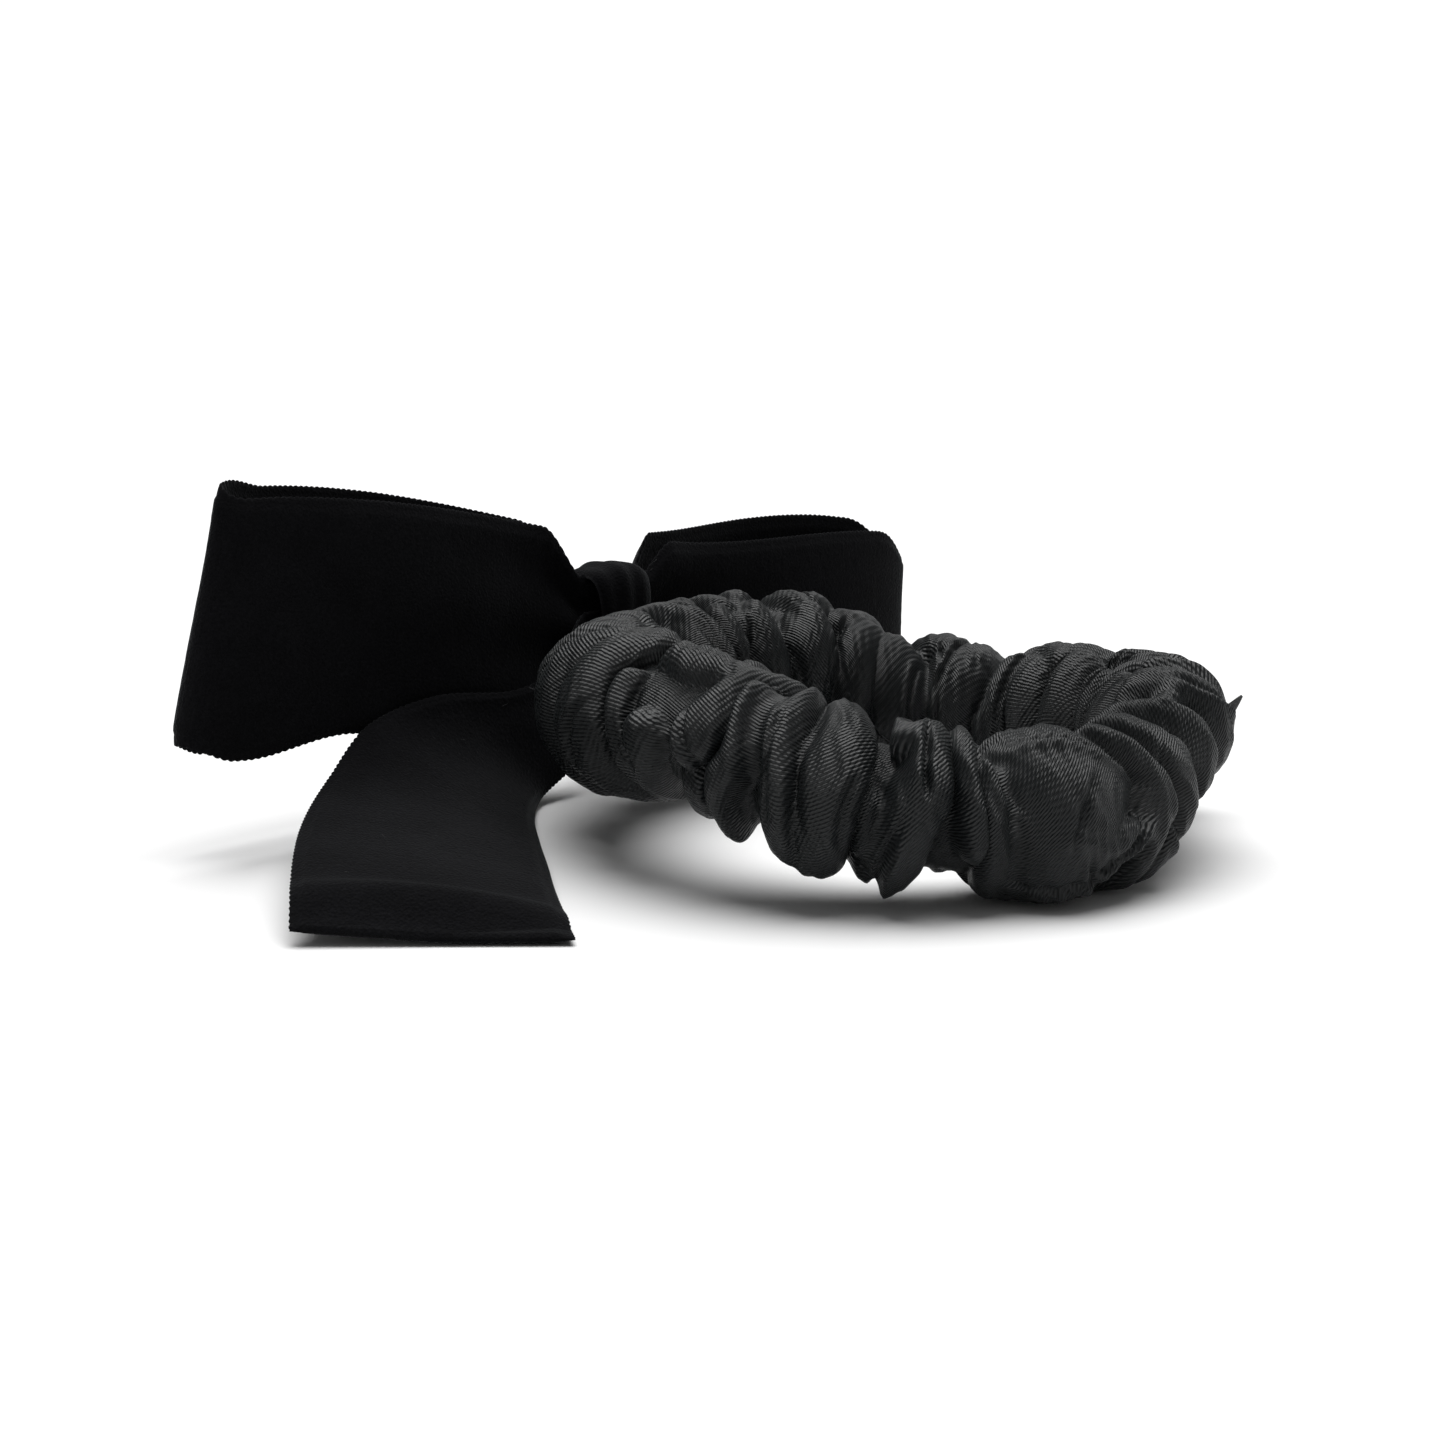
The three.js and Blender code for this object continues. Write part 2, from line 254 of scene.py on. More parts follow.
def makeVelvet():
    # Woven nylon velvet, cut pile: almost no light comes back face on, and a cool glow stands along its rims.
    material, tree, shader = startMaterial("woven_nylon_velvet_cut_pile")
    place = addNode(tree, "ShaderNodeTexCoord").outputs["Object"]
    grain = 1 / (velvetPile["pileGrain"] * mm)
    tufts = addNode(tree, "ShaderNodeTexVoronoi",
                    {"Vector": place, "Scale": grain, "Randomness": 1.0}).outputs[0]
    fuzz = addNode(tree, "ShaderNodeTexNoise",
                   {"Vector": place, "Scale": grain * 0.8, "Detail": 3.0}).outputs[0]
    crushSettings = {"Vector": place, "Scale": 130.0, "Detail": 4.0, "Roughness": 0.6}
    crush = addNode(tree, "ShaderNodeTexNoise", crushSettings).outputs[0]
    lowFuzz = addNode(tree, "ShaderNodeMath", {0: fuzz, 1: 0.6}, operation="MULTIPLY").outputs[0]
    height = addNode(tree, "ShaderNodeMath", {0: tufts, 1: 0.5, 2: lowFuzz},
                     operation="MULTIPLY_ADD").outputs[0]
    # lighter in random patches and speckle where the pile is crushed: painted sheen of the pile turned to the
    # light
    crushSheen = addNode(tree, "ShaderNodeMath", {0: fuzz, 1: crush}, operation="MULTIPLY").outputs[0]
    share = addNode(tree, "ShaderNodeMath", {0: crushSheen, 1: 2.2}, operation="MULTIPLY").outputs[0]
    deep, tip = toLinear(velvetPile["deep"]), toLinear(velvetPile["tip"])
    colour = addNode(tree, "ShaderNodeMix", {0: share, 6: deep, 7: tip}, data_type="RGBA").outputs[2]
    relief = {"Height": height, "Strength": 0.8, "Distance": velvetPile["bump"] * mm}
    bump = addNode(tree, "ShaderNodeBump", relief).outputs[0]
    tree.links.new(colour, shader.inputs["Base Color"])
    tree.links.new(bump, shader.inputs["Normal"])
    shader.inputs["Roughness"].default_value = 0.95
    shader.inputs["Specular IOR Level"].default_value = 0.05
    shader.inputs["Sheen Weight"].default_value = velvetPile["sheen"]
    shader.inputs["Sheen Roughness"].default_value = 0.35
    shader.inputs["Sheen Tint"].default_value = toLinear("#e6ebee")
    return material


def makeYarn(name, dark, light, twist, roughness):
    # Spun polyester, twisted or braided: dull, with fine slanting strands that catch the light.
    material, tree, shader = startMaterial(name)
    place = addNode(tree, "ShaderNodeTexCoord").outputs["Object"]
    # a wave of scale 1 repeats every 0.314 m
    waveSettings = {"Vector": place, "Scale": 0.314 / (twist * mm), "Distortion": 1.5, "Detail": 1.0}
    strands = addNode(tree, "ShaderNodeTexWave", waveSettings, bands_direction="DIAGONAL").outputs[1]
    # the colour follows the strands: lighter on their crests and darker between them, which is painted
    # highlight and painted shade
    shades = {0: strands, 6: toLinear(dark), 7: toLinear(light)}
    colour = addNode(tree, "ShaderNodeMix", shades, data_type="RGBA").outputs[2]
    bump = addNode(tree, "ShaderNodeBump",
                   {"Height": strands, "Strength": 0.6, "Distance": 0.08 * mm}).outputs[0]
    tree.links.new(colour, shader.inputs["Base Color"])
    tree.links.new(bump, shader.inputs["Normal"])
    shader.inputs["Roughness"].default_value = roughness
    shader.inputs["Sheen Weight"].default_value = 0.03
    return material


twill = makeTwill()
velvet = makeVelvet()
thread = makeYarn("spun_polyester_sewing_thread", "#0c0d0e", "#2b2e30", 0.35, 0.6)
webbing = makeYarn("braided_polyester_elastic", "#0c0d0e", "#26292a", 0.9, 0.8)
print("materials made")


def dress(piece, material):
    # one material over the whole piece
    piece.data.materials.clear()
    piece.data.materials.append(material)
    return piece


ring = {
    "radius": 28.5,
    "rest": 8.1,  # centre line above the surface where the ring lies on it
    "lift": [7.5, 2.8, 0, 0.2, 4.0, 3.0, 0.4, 1.3, 6.3, 7.3, 6.5, 6.9],  # every 30 degrees
    "stretchFrom": -26.0,
    "stretchTo": 26.0,
}


def ringHeight(angle):
    # closed Catmull-Rom through the lifts
    lifts = np.array(ring["lift"], float)
    place = np.mod(np.asarray(angle) / 360, 1) * len(lifts)
    i = place.astype(int)
    t = place - i
    a, b, c, d = (lifts[(i + k) % len(lifts)] for k in (-1, 0, 1, 2))
    return ring["rest"] + b + 0.5 * t * (c - a + t * (2 * a - 5 * b + 4 * c - d + t * (3 * (b - c) + d - a)))


def besideRing(angle, out, up):
    # the centre line's point, moved outwards in plan and up
    turn = np.radians(angle)
    radius = ring["radius"] + out
    return np.stack([radius * np.cos(turn), radius * np.sin(turn), ringHeight(angle) + up], -1)


def stretchWithRing(piece):
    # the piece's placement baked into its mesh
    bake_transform(piece)


cover = {
    "valley": 4.3,  # mm from the centre line to the deepest creases
    "valleyRise": 1.1,  # mm that the cloth keeps over that between folds
    "along": 820,
    "around": 104,
    "allowance": 3.0,  # seam allowance turned inwards at the long seam, on the hair side
    "allowanceSteps": 4,
    "seamAngle": 212.0,  # where the long seam runs, under the hair side
    "flatWidth": 52.0,
    "flatLength": 300.0,
    "relief": 1.36,  # times the heights in the rows below
    "foldPower": 11,  # of the power mean that joins the folds
    "slim": 0.06,  # share of the reach lost beside the closing seam
    "slimUnder": 0.32,  # and how much more low on the outer side
    "pinch": 2.4,  # mm, depth of the dent beside the seam's corner
    "crumple": 0.1,  # mm
    "floor": 0.12,  # mm, the lowest that the cloth comes
    "knotFace": -37.2,  # mm, where the knot's back stops the cloth
    "seed": 11,
}

# One row for each fold over the outside of the ring: angle along the ring, half width, height, how far
# its top
# and its bottom lean along the ring, where it ends below and above (0 outwards, 90 up), and how far its crest
# falls over its neighbour. Angles in degrees, heights in mm.
outerFolds = [
    [-49, 7.6, 3.1, 6, 5, -110, 118, 0.7],
    [-36, 7.4, 3.2, 6, 5, -112, 116, 0.9],
    [-22.5, 7.6, 3.3, 4, 5, -108, 116, 0.9],
    [-10.5, 4.0, 2.5, 1, 3, -100, 60, 0.5],
    [-2, 4.8, 2.6, 3, -3, -112, 22, -0.4],
    [7.5, 5.6, 3.0, 8, -1, -10, 122, 0.9],
    [9, 4.3, 2.5, 1, -3, -112, -8, 0.3],
    [15.2, 3.0, 3.1, 4, -2, -82, 84, -0.5],
    [21.8, 4.4, 3.3, 1, 1, -68, 112, 0.7],
    [30, 6.2, 3.3, 1, -4, -86, 118, 0.6],
    [36.5, 2.6, 1.8, 1, -2, -60, 20, 0.2],
    [41.5, 2.6, 2.9, 2, 1, 52, 118, -0.7],
    [38, 4.6, 2.7, 0, -2, -112, -58, 0.3],
    [43, 4.9, 3.4, 4, -4, -77, 92, 0.7],
    [51.5, 3.2, 3.0, 1, 3, -30, 112, 0.3],
    [56.2, 3.6, 2.6, 0, 1, -96, 66, -0.5],
    [69.5, 11.8, 3.3, -1, -3, -108, 108, 0.4],
    [62, 6.0, 2.5, 4, 12, -100, -18, 0.6],
    [64, 5.0, 3.1, 7, 0, 58, 128, -0.3],
    [85, 4.8, 3.2, -5, -5, -102, 100, 0.5],
    [93.2, 5.0, 3.3, -5, -6, -108, 112, 0.6],
    [102, 5.4, 3.0, -4, -6, -104, 118, 0.6],
    [112, 6.6, 3.3, -2, -4, -108, 122, 0.5],
    [122, 5.4, 2.9, 2, -3, -106, 110, -0.4],
    [131, 5.2, 3.1, 2, 3, -104, 116, 0.4],
    [140.5, 5.6, 2.7, 0, 4, -110, 112, -0.3],
    [148, 3.2, 3.0, 0, 0, -100, 110, 0.2],
    [156, 6.0, 2.7, -3, 2, -108, 108, 0.5],
    [167, 8.0, 3.2, 4, -3, -106, 122, -0.4],
    [181, 8.6, 3.3, -4, 4, -108, 116, 0.5],
    [195, 7.6, 3.0, 3, -2, -104, 120, 0.4],
    [208, 8.0, 3.3, -3, 3, -110, 112, -0.5],
    [221, 7.2, 2.9, 4, 2, -106, 122, 0.5],
    [233, 6.6, 3.1, 2, -4, -108, 114, 0.3],
    [244, 6.2, 2.8, -3, 3, -104, 118, -0.4],
    [254, 5.6, 2.6, 2, 2, -110, 110, 0.3],
    [263, 5.0, 2.4, 0, 0, -108, 116, 0.2],
    [272, 5.2, 2.4, 1, -1, -106, 112, 0.2],
    [281.5, 5.6, 2.6, -2, 2, -108, 116, -0.3],
    [291, 5.8, 2.9, 3, -3, -104, 112, 0.5],
    [302, 6.2, 3.0, 4, 4, -108, 118, 0.6],
]
# Folds that lie along the tube: angle from and to, where on the tube, half width round it, height.
lengthwiseFolds = [
    [-9, 19, 84, 24, 2.9],
    [62, 86, -8, 15, 3.3],
    [-52, -22, 104, 20, 2.6],
    [96, 118, 74, 18, 3.1],
    [24, 34, 96, 17, 2.7],
    [170, 205, 60, 22, 3.0],
    [214, 240, 100, 20, 2.9],
    [58, 80, 102, 16, 3.1],
]


# Creases where the cloth laps over itself: from and to (angle along the ring, place on the tube), how far the
# line bows sideways in mm, and depth.
creases = [
    [60, -44, 82, 0, 1.4, 0.9], [62, 74, 83, 26, -1.2, 0.8], [57, 64, 60, 14, 0.4, 0.7],
    [-38, 66, -41, 6, 1.4, 0.45], [-24, 74, -27, 14, 1.6, 0.45], [-17, 20, -21, -40, 1.2, 0.4],
    [27, 64, 24, -52, 0.8, 0.5], [33.5, 24, 31, -30, 0.5, 0.5], [38, 74, 35.5, 16, -0.6, 0.6],
    [45, 76, 43.5, 22, 0.3, 1.3], [41.5, -8, 40.8, -40, 0.4, 0.35], [4, 52, 9, -12, 0.7, 0.7],
    [-7.5, 30, -4, -24, 0.5, 1.1], [12.5, 34, 10.5, -44, 0.5, 0.6], [21, 60, 20, -30, 0.4, 0.5],
    [69, -14, 75, -46, 0.9, 0.5], [90, 60, 92, -40, 1.6, 0.6], [99, 66, 101, -30, 1.7, 0.55],
    [108, 76, 118, 18, 1.4, 0.7], [124, 84, 132, -6, 1.5, 0.6], [72, 40, 66, -10, 0.8, 0.35],
]


def wrapped(angle):
    # the same direction from -180 to 180 degrees
    return np.mod(angle + 180, 360) - 180


def ripple(theta, phi, seed, terms, alongRange, roundRange):
    # sum of sines with whole numbers of waves along the ring and round the tube
    draw = np.random.default_rng(seed)
    total = np.zeros(np.broadcast(theta, phi).shape)
    for _ in range(terms):
        waves = draw.integers(*alongRange)
        turns = draw.integers(*roundRange) * draw.choice([-1, 1])
        total += np.sin(np.radians(waves * theta + turns * phi) + draw.uniform(0, 2 * np.pi))
    return total / np.sqrt(terms)


def foldShape(across):
    # round crest and steep sides: (1 - t^2)^0.6
    return np.maximum(1 - across ** 2, 0) ** 0.6


def innerFolds():
    # tighter folds over the hair side, at seeded spacings
    draw = np.random.default_rng(cover["seed"])
    rows, place = [], 0.0
    while place < 354:
        farSide = 152 < place < 256
        half = draw.uniform(6.2, 8.4) if farSide else draw.uniform(3.4, 5.6)
        height = draw.uniform(2.8, 3.2) if farSide else draw.uniform(2.0, 2.9)
        rows.append([place + half, half * 1.12, height, draw.uniform(-4, 4), draw.uniform(-4, 4),
                     draw.uniform(-88, -70), draw.uniform(70, 88), draw.uniform(-0.5, 0.5)])
        place += 1.9 * half
    return rows


def addFolds(theta, phi, rows):
    # each fold is foldShape of the distance from its crest line, times its height; the cloth is the smooth
    # greatest of all folds, the power mean of their heights
    total = np.full(np.broadcast(theta, phi).shape, cover["valleyRise"] ** cover["foldPower"])
    lean = np.zeros_like(total)
    for middle, half, height, top, bottom, low, high, fall in rows:
        s = np.clip((phi - 15) / 75, -1.5, 1.5)
        crest = middle + 0.5 * (top - bottom) * s + 0.5 * (top + bottom) * s ** 2
        window = smooth(phi, low - 16, low + 16) * (1 - smooth(phi, high - 16, high + 16))
        across = wrapped(theta - crest) / (half * (0.5 + 0.5 * window))
        share = (cover["relief"] * height * foldShape(across) * window ** 0.7) ** cover["foldPower"]
        total += share
        lean += share * fall
    return total, lean


def seededCreases():
    # shorter ones all round, mostly along the folds
    draw = np.random.default_rng(cover["seed"] + 1)
    rows = []
    for _ in range(46):
        theta, phi = draw.uniform(-180, 180), draw.uniform(-180, 180)
        if -48 < theta < 110 and -80 < phi < 100:
            continue
        rows.append([theta, phi, theta + draw.uniform(-6, 6), phi + draw.uniform(30, 95),
                     draw.uniform(-1.2, 1.2),
                     draw.uniform(0.35, 0.85)])
    return rows


def lapCreases(theta, phi):
    # beside each line the cloth rises in a rounded lip on one side and sinks in a groove on the other:
    # two bell curves of the distance from the line
    total = np.zeros(np.broadcast(theta, phi).shape)
    alongScale, roundScale = 0.62, 0.145  # mm for a degree
    for theta0, phi0, theta1, phi1, bowed, depth in creases + seededCreases():
        x, y = wrapped(theta - theta0) * alongScale, wrapped(phi - phi0) * roundScale
        dx, dy = (theta1 - theta0) * alongScale, (phi1 - phi0) * roundScale
        length = np.hypot(dx, dy)
        t = (x * dx + y * dy) / length ** 2
        away = (x * dy - y * dx) / length - bowed * 4 * t * (1 - t)
        ends = smooth(t, -0.12, 0.2) * (1 - smooth(t, 0.8, 1.12))
        lip = np.exp(-((away - 0.62) / 0.6) ** 2)
        groove = np.exp(-((away + 0.2) / 0.34) ** 2)
        total += depth * ends * (0.75 * lip - 1.15 * groove)
    return total


def coverReach(theta, phi):
    # distance of the cloth from the centre line: the valley, the folds' power mean, the crumple and the
    # creases added up; and how far its crest falls along the ring
    warpT = theta + 1.5 * ripple(theta, phi, 3, 7, (6, 26), (1, 5)) * 0.55
    warpP = phi + 7.0 * ripple(theta, phi, 4, 7, (8, 34), (1, 4)) * 0.6
    total, lean = addFolds(warpT, wrapped(warpP), outerFolds)
    innerTotal, innerLean = addFolds(warpT, wrapped(warpP - 180), innerRows)
    total, lean = total + innerTotal, lean + innerLean
    for start, stop, middle, half, height in lengthwiseFolds:
        ends = smooth(warpT, start - 3, start + 6) * (1 - smooth(warpT, stop - 7, stop + 3))
        across = wrapped(warpP - middle) / (half * (0.35 + 0.65 * ends) + 1e-6)
        total = total + (cover["relief"] * height * foldShape(across) * ends ** 0.5) ** cover["foldPower"]
    height = total ** (1 / cover["foldPower"])
    wrinkles = 1 - np.abs(ripple(warpT, warpP, 8, 9, (20, 90), (1, 9)))
    crumple = cover["crumple"] * (wrinkles + 0.8 * ripple(warpT, warpP, 9, 12, (60, 170), (2, 16)))
    swell = 0.25 * ripple(theta, phi, 5, 6, (3, 14), (0, 3))
    laps = lapCreases(theta, phi) * smooth(height, 0.8, 2.6)
    reach = cover["valley"] + height + (crumple + swell) * smooth(height, 0.3, 1.8) + laps
    return reach, lean / total


innerRows = innerFolds()


def coverSurface(theta, phi, inset=0.0):
    # a point out from the centre line by coverReach, then pressed on the surface below and the knot
    reach, lean = coverReach(theta, phi)
    reach = reach - inset
    fall = 1.7 * lean * smooth(reach, cover["valley"], cover["valley"] + 3.2)
    # next to the closing seam the cover is drawn in, most of all low on its outer side: a bell curve round it
    slim = smooth(theta, 84, 106) * (1 - smooth(theta, 152, 172))
    reach = reach * (1 - slim * (cover["slim"] + cover["slimUnder"] * np.exp(-((wrapped(phi + 52)) / 44) ** 2)))
    # and it is pinched where the seam's corner comes out: a bell-shaped dent
    reach = reach - cover["pinch"] * np.exp(-(wrapped(theta - 138) / 9) ** 2 - (wrapped(phi - 26) / 27) ** 2)
    out, up = reach * np.cos(np.radians(phi)), reach * np.sin(np.radians(phi))
    place = besideRing(theta + fall, out, up)
    low = place[..., 2] - cover["floor"]
    place[..., 2] = cover["floor"] + np.where(low > 1.2, low, 1.2 * np.exp(np.clip((low - 1.2) / 1.2, -8, 0)))
    nearKnot = 1 - smooth(np.abs(place[..., 0]), 8.0, 13.0)
    past = np.maximum(cover["knotFace"] - place[..., 1], 0) * nearKnot
    place[..., 1] += past * 0.92
    return place


def makeCover():
    # the surface on a grid, its two long borders turned inwards; the cloth's flat place is the distance along
    # the ring and the share of its width round the tube
    steps = cover["allowanceSteps"]
    theta = np.linspace(0, 360, cover["along"], endpoint=False)[:, None] + 150
    edge = 179.3
    phi = np.linspace(-edge, edge, cover["around"])
    sunk = np.linspace(cover["allowance"], 0.35, steps)
    phiAll = np.concatenate([np.full(steps, -edge - 0.35), phi, np.full(steps, edge + 0.35)])[None]
    inset = np.concatenate([sunk, np.zeros(len(phi)), sunk[::-1]])[None]
    theta = wrapped(theta)
    points = coverSurface(theta + 0 * phiAll, phiAll + 0 * theta + cover["seamAngle"] - 180, inset)
    step = np.linalg.norm(np.roll(points, -1, 0) - points, axis=-1).mean(1)
    alongCloth = np.concatenate([[0], np.cumsum(step)[:-1]])[:, None]
    roundCloth = phiAll / 360 * cover["flatWidth"] + np.sign(phiAll) * inset
    # the cloth lies on the bias over part of the ring, where its ribs climb across the folds
    bias = 1.15 * smooth(theta, 16, 34) * (1 - smooth(theta, 112, 132)) - 0.5 * smooth(-theta, 60, 90)
    climb = np.cumsum(bias[:, 0] * step)[:, None]
    slant = 1.6 * ripple(theta, phiAll, 21, 5, (3, 9), (0, 2)) - climb
    cloth = np.stack(np.broadcast_arrays(alongCloth, roundCloth + slant), -1)
    return points, cloth, step.sum()


points, cloth, clothLength = makeCover()
coverPiece = gridPiece("gathered_cover", points, True, False, cloth)
dress(coverPiece, twill)
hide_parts("cover_bow_half", "cover_far_half")
print("gathered cover made, cloth length in mm:", round(float(clothLength), 1))

elastic = {"width": 6.0, "thickness": 1.0, "ribs": 9, "along": 420}


def makeElastic():
    # a flat band round the centre line; its two faces are ribbed by a small cosine across the width
    theta = np.linspace(0, 360, elastic["along"], endpoint=False)[:, None]
    across = np.concatenate([np.linspace(-1, 1, 28), np.linspace(1, -1, 28)])[None]
    face = np.concatenate([np.ones(28), -np.ones(28)])[None]
    ribs = 1 + 0.14 * np.cos(np.pi * elastic["ribs"] * across) * (1 + 0.3 * np.sin(np.radians(theta * 150)))
    half = elastic["thickness"] / 2 * np.sqrt(np.maximum(1 - across ** 8, 0)) * ribs
    return besideRing(theta + 0 * across, face * half, elastic["width"] / 2 * across + 0 * theta)


elasticPiece = gridPiece("braided_elastic_band", makeElastic(), True, True)
dress(elasticPiece, webbing)
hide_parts("elastic_bow_half", "elastic_far_half")

seam = {"stitches": 84, "stitchLength": 2.1, "radius": 0.13, "closingAngle": 150.0, "closingStitches": 22}


def stitchLine(name, starts, ends, bulge):
    # each stitch is a thin tube from start to end, raised at its middle by the bulge
    share = np.linspace(0, 1, 5)[:, None]
    width = seam["radius"] * np.array([0.5, 1, 1, 1, 0.5])
    grids = [tube(a + (b - a) * share + up * (4 * share * (1 - share)), width, 6)
             for a, b, up in zip(starts, ends, bulge)]
    return joinGrids(name, grids)


def seamPoint(theta, phi, lift):
    # a point of the cover moved outwards by the lift; below zero it is inside the cloth
    return coverSurface(theta, phi, -lift)


def makeLongSeam():
    # stitches at even angles round the ring, beside the seam; each dips into the cloth at its ends
    middle = np.linspace(0, 360, seam["stitches"], endpoint=False)
    half = np.degrees(seam["stitchLength"] / 2 / (ring["radius"] - 8))
    beside = np.full(seam["stitches"], cover["seamAngle"] - 1.5)
    a = seamPoint(wrapped(middle - half), beside, -0.15)
    b = seamPoint(wrapped(middle + half), beside, -0.15)
    m = seamPoint(wrapped(middle), beside, 0.16)
    return stitchLine("long_seam_stitches", a, b, m - (a + b) / 2)


def makeClosingSeam():
    # stitches at even angles round the tube, each slanting a little along the ring
    phi = np.linspace(-170, 170, seam["closingStitches"])
    a = seamPoint(np.full(len(phi), seam["closingAngle"] + 1.0), phi - 3, -0.1)
    b = seamPoint(np.full(len(phi), seam["closingAngle"] + 3.6), phi + 3, -0.1)
    m = seamPoint(np.full(len(phi), seam["closingAngle"] + 2.3), phi, 0.16)
    return stitchLine("closing_seam_stitches", a, b, m - (a + b) / 2)


longSeam = dress(makeLongSeam(), thread)
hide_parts("long_seam_thread_bow_half", "long_seam_thread_far_half")
closingSeam = dress(makeClosingSeam(), thread)
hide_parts("closing_seam_thread")


# The corner of the closing seam's allowance that stands out of the gathers.
corner = {"tip": (-36.8, 21.1, 12.9), "base": (-31.0, 16.6, 6.2), "width": 6.6, "thickness": 0.5}


def makeCorner():
    # a folded point of cloth: its width shrinks to the tip as (1 - s)^0.8, and it is bent across as 1 - w^2
    s = np.linspace(0, 1, 30)[:, None]
    w = np.concatenate([np.linspace(-1, 1, 14), np.linspace(1, -1, 14)])[None]
    face = np.concatenate([np.ones(14), -np.ones(14)])[None]
    tip, base = np.array(corner["tip"]), np.array(corner["base"])
    forward = unit(tip - base)
    side = unit(np.cross(forward, [0.0, 0, 1]))
    up = np.cross(side, forward)
    half = corner["width"] / 2 * (1 - s) ** 0.8 + 0.12
    bend = 0.9 * (1 - s) * (1 - w ** 2) + 0.5 * np.sin(np.pi * s)
    thick = face * corner["thickness"] / 2 * np.sqrt(np.maximum(1 - w ** 6, 0)) * (1 - 0.5 * s)
    line = base - 1.5 * forward + s[..., None] * (tip - base + 1.5 * forward)
    across, outOf = 0.45 * side + 0.89 * up, 0.89 * side - 0.45 * up
    return line + (w * half)[..., None] * across + (bend + thick)[..., None] * outOf


cornerPoints = makeCorner()
cornerCloth = np.stack(np.broadcast_arrays(np.linspace(0, 6, 30)[:, None], np.linspace(0, 9, 28)[None]), -1)
cornerPiece = gridPiece("closing_seam_corner", cornerPoints, False, True, cornerCloth, capped=True)
dress(cornerPiece, twill)
for piece in (coverPiece, elasticPiece, longSeam, closingSeam, cornerPiece):
    stretchWithRing(piece)
print("elastic and seams made")

ribbon = {
    "width": 24.8,
    "pile": 1.0,  # thickness with its pile
    "lowest": 0.62,  # height of its middle where it lies on the surface
    "selvedge": 1.0,  # border where the pile is thin
    "selvedgeThickness": 0.66,
    "picotPitch": 0.8,
    "picot": 0.17,
    "across": 44,
}
# columns of the grid, closer together at the borders: the sine of even steps
ribbonColumns = np.sin(np.linspace(-np.pi / 2, np.pi / 2, ribbon["across"]))
loopsPlane = -42.8
tailsPlane = -40.8
bowHeight = 16.8
rootX = 5.4


def ribbonSheet(name, mid, cutEnd, seed):
    # mid is the ribbon's middle surface on a grid, along by across. The two faces stand off it by half of the
    # thickness, which is full under the pile and thin at the selvedges and at a cut end; the edges are
    # beaded.
    along, across = mid.shape[:2]
    w = ribbonColumns
    ds, dw = np.gradient(mid, axis=0), np.gradient(mid, axis=1)
    normal = unit(np.cross(ds, dw))
    length = np.concatenate([[0], np.cumsum(np.linalg.norm(np.diff(mid[:, across // 2], axis=0), axis=-1))])
    border = ribbon["selvedge"] / (ribbon["width"] / 2)
    raised = np.broadcast_to(smooth(1 - np.abs(w), border * 0.8, border * 1.3), (along, across))
    draw = np.random.default_rng(seed)
    fuzz = draw.normal(0, 0.012, (2, along, across))
    half = (ribbon["selvedgeThickness"] + (ribbon["pile"] - ribbon["selvedgeThickness"]) * raised) / 2
    half = half * np.sqrt(np.maximum(1 - np.abs(w[None]) ** 24, 0.02))
    bead = ribbon["picot"] * np.abs(np.sin(np.pi * length / ribbon["picotPitch"]))
    edge = unit(dw) * (np.sign(w) * (np.abs(w) > 0.985))[None, :, None] * bead[:, None, None]
    if cutEnd:
        half = half * (0.25 + 0.75 * smooth(length[-1] - length, 0, 0.5))[:, None]
    front = mid + edge + normal * (half + fuzz[0] * raised)[..., None]
    back = mid + edge - normal * (half + fuzz[1] * raised)[..., None]
    shell = np.concatenate([front, back[:, ::-1]], axis=1)
    piece = gridPiece(name, shell, False, True, capped=True)
    return piece, length[-1], (back, -normal)


lint = {"coverHairs": 26, "ribbonHairs": 9, "radius": 0.022, "seed": 5}


def lintHair(draw, start, out):
    # a short stray hair: a small arc, half a sine high, standing off the cloth
    heading = unit(draw.normal(size=3) * [1, 1, 0.6])
    size = draw.uniform(0.7, 2.2)
    s = np.linspace(0, 1, 7)[:, None]
    path = start + size * s * heading * 0.7 + out * size * (0.35 * np.sin(np.pi * s * draw.uniform(0.5,
                                                                                                   0.95)))
    return tube(path, lint["radius"] * np.linspace(1, 0.5, 7), 4)


def ribbonLint(name, face, seed):
    # hairs at seeded points of one face of the ribbon
    draw = np.random.default_rng(seed)
    points, outwards = face
    rows = draw.integers(60, points.shape[0] - 20, lint["ribbonHairs"])
    columns = draw.integers(3, points.shape[1] - 3, lint["ribbonHairs"])
    hairs = [lintHair(draw, points[i, j], outwards[i, j]) for i, j in zip(rows, columns)]
    return dress(joinGrids(name, hairs), thread)


# A loop seen from above: share of its length out from the knot, and mm forward of its plane.
loopPath = np.array([[0, .7], [.16, 3.1], [.46, 5], [.76, 4.8], [.94, 3.1], [1, .8], [.94, -1.3],
                     [.72, -1.9], [.42, -1.7], [.16, -1], [0, -.6]])
loops = {
    "length": 50.3,
    "coreHeight": 14.0,
    "hiddenLength": 4.6,  # inside the knot
    "along": 620,
    "sag": 2.4,  # mm, the belly of the lower edge
    "rolled": 1.2,  # mm, the corner that stands up at the tip
    # share of the length, height of the ribbon's middle over the knot's middle
    "rightMiddle": [[0, 0.6], [0.12, 2.0], [0.42, 5.0], [0.65, 6.8], [0.85, 7.8], [1, 8.3]],
    "leftMiddle": [[0, -0.6], [0.15, -1.9], [0.35, -2.2], [0.6, -2.3], [0.85, -2.9], [1, -4.2]],
}


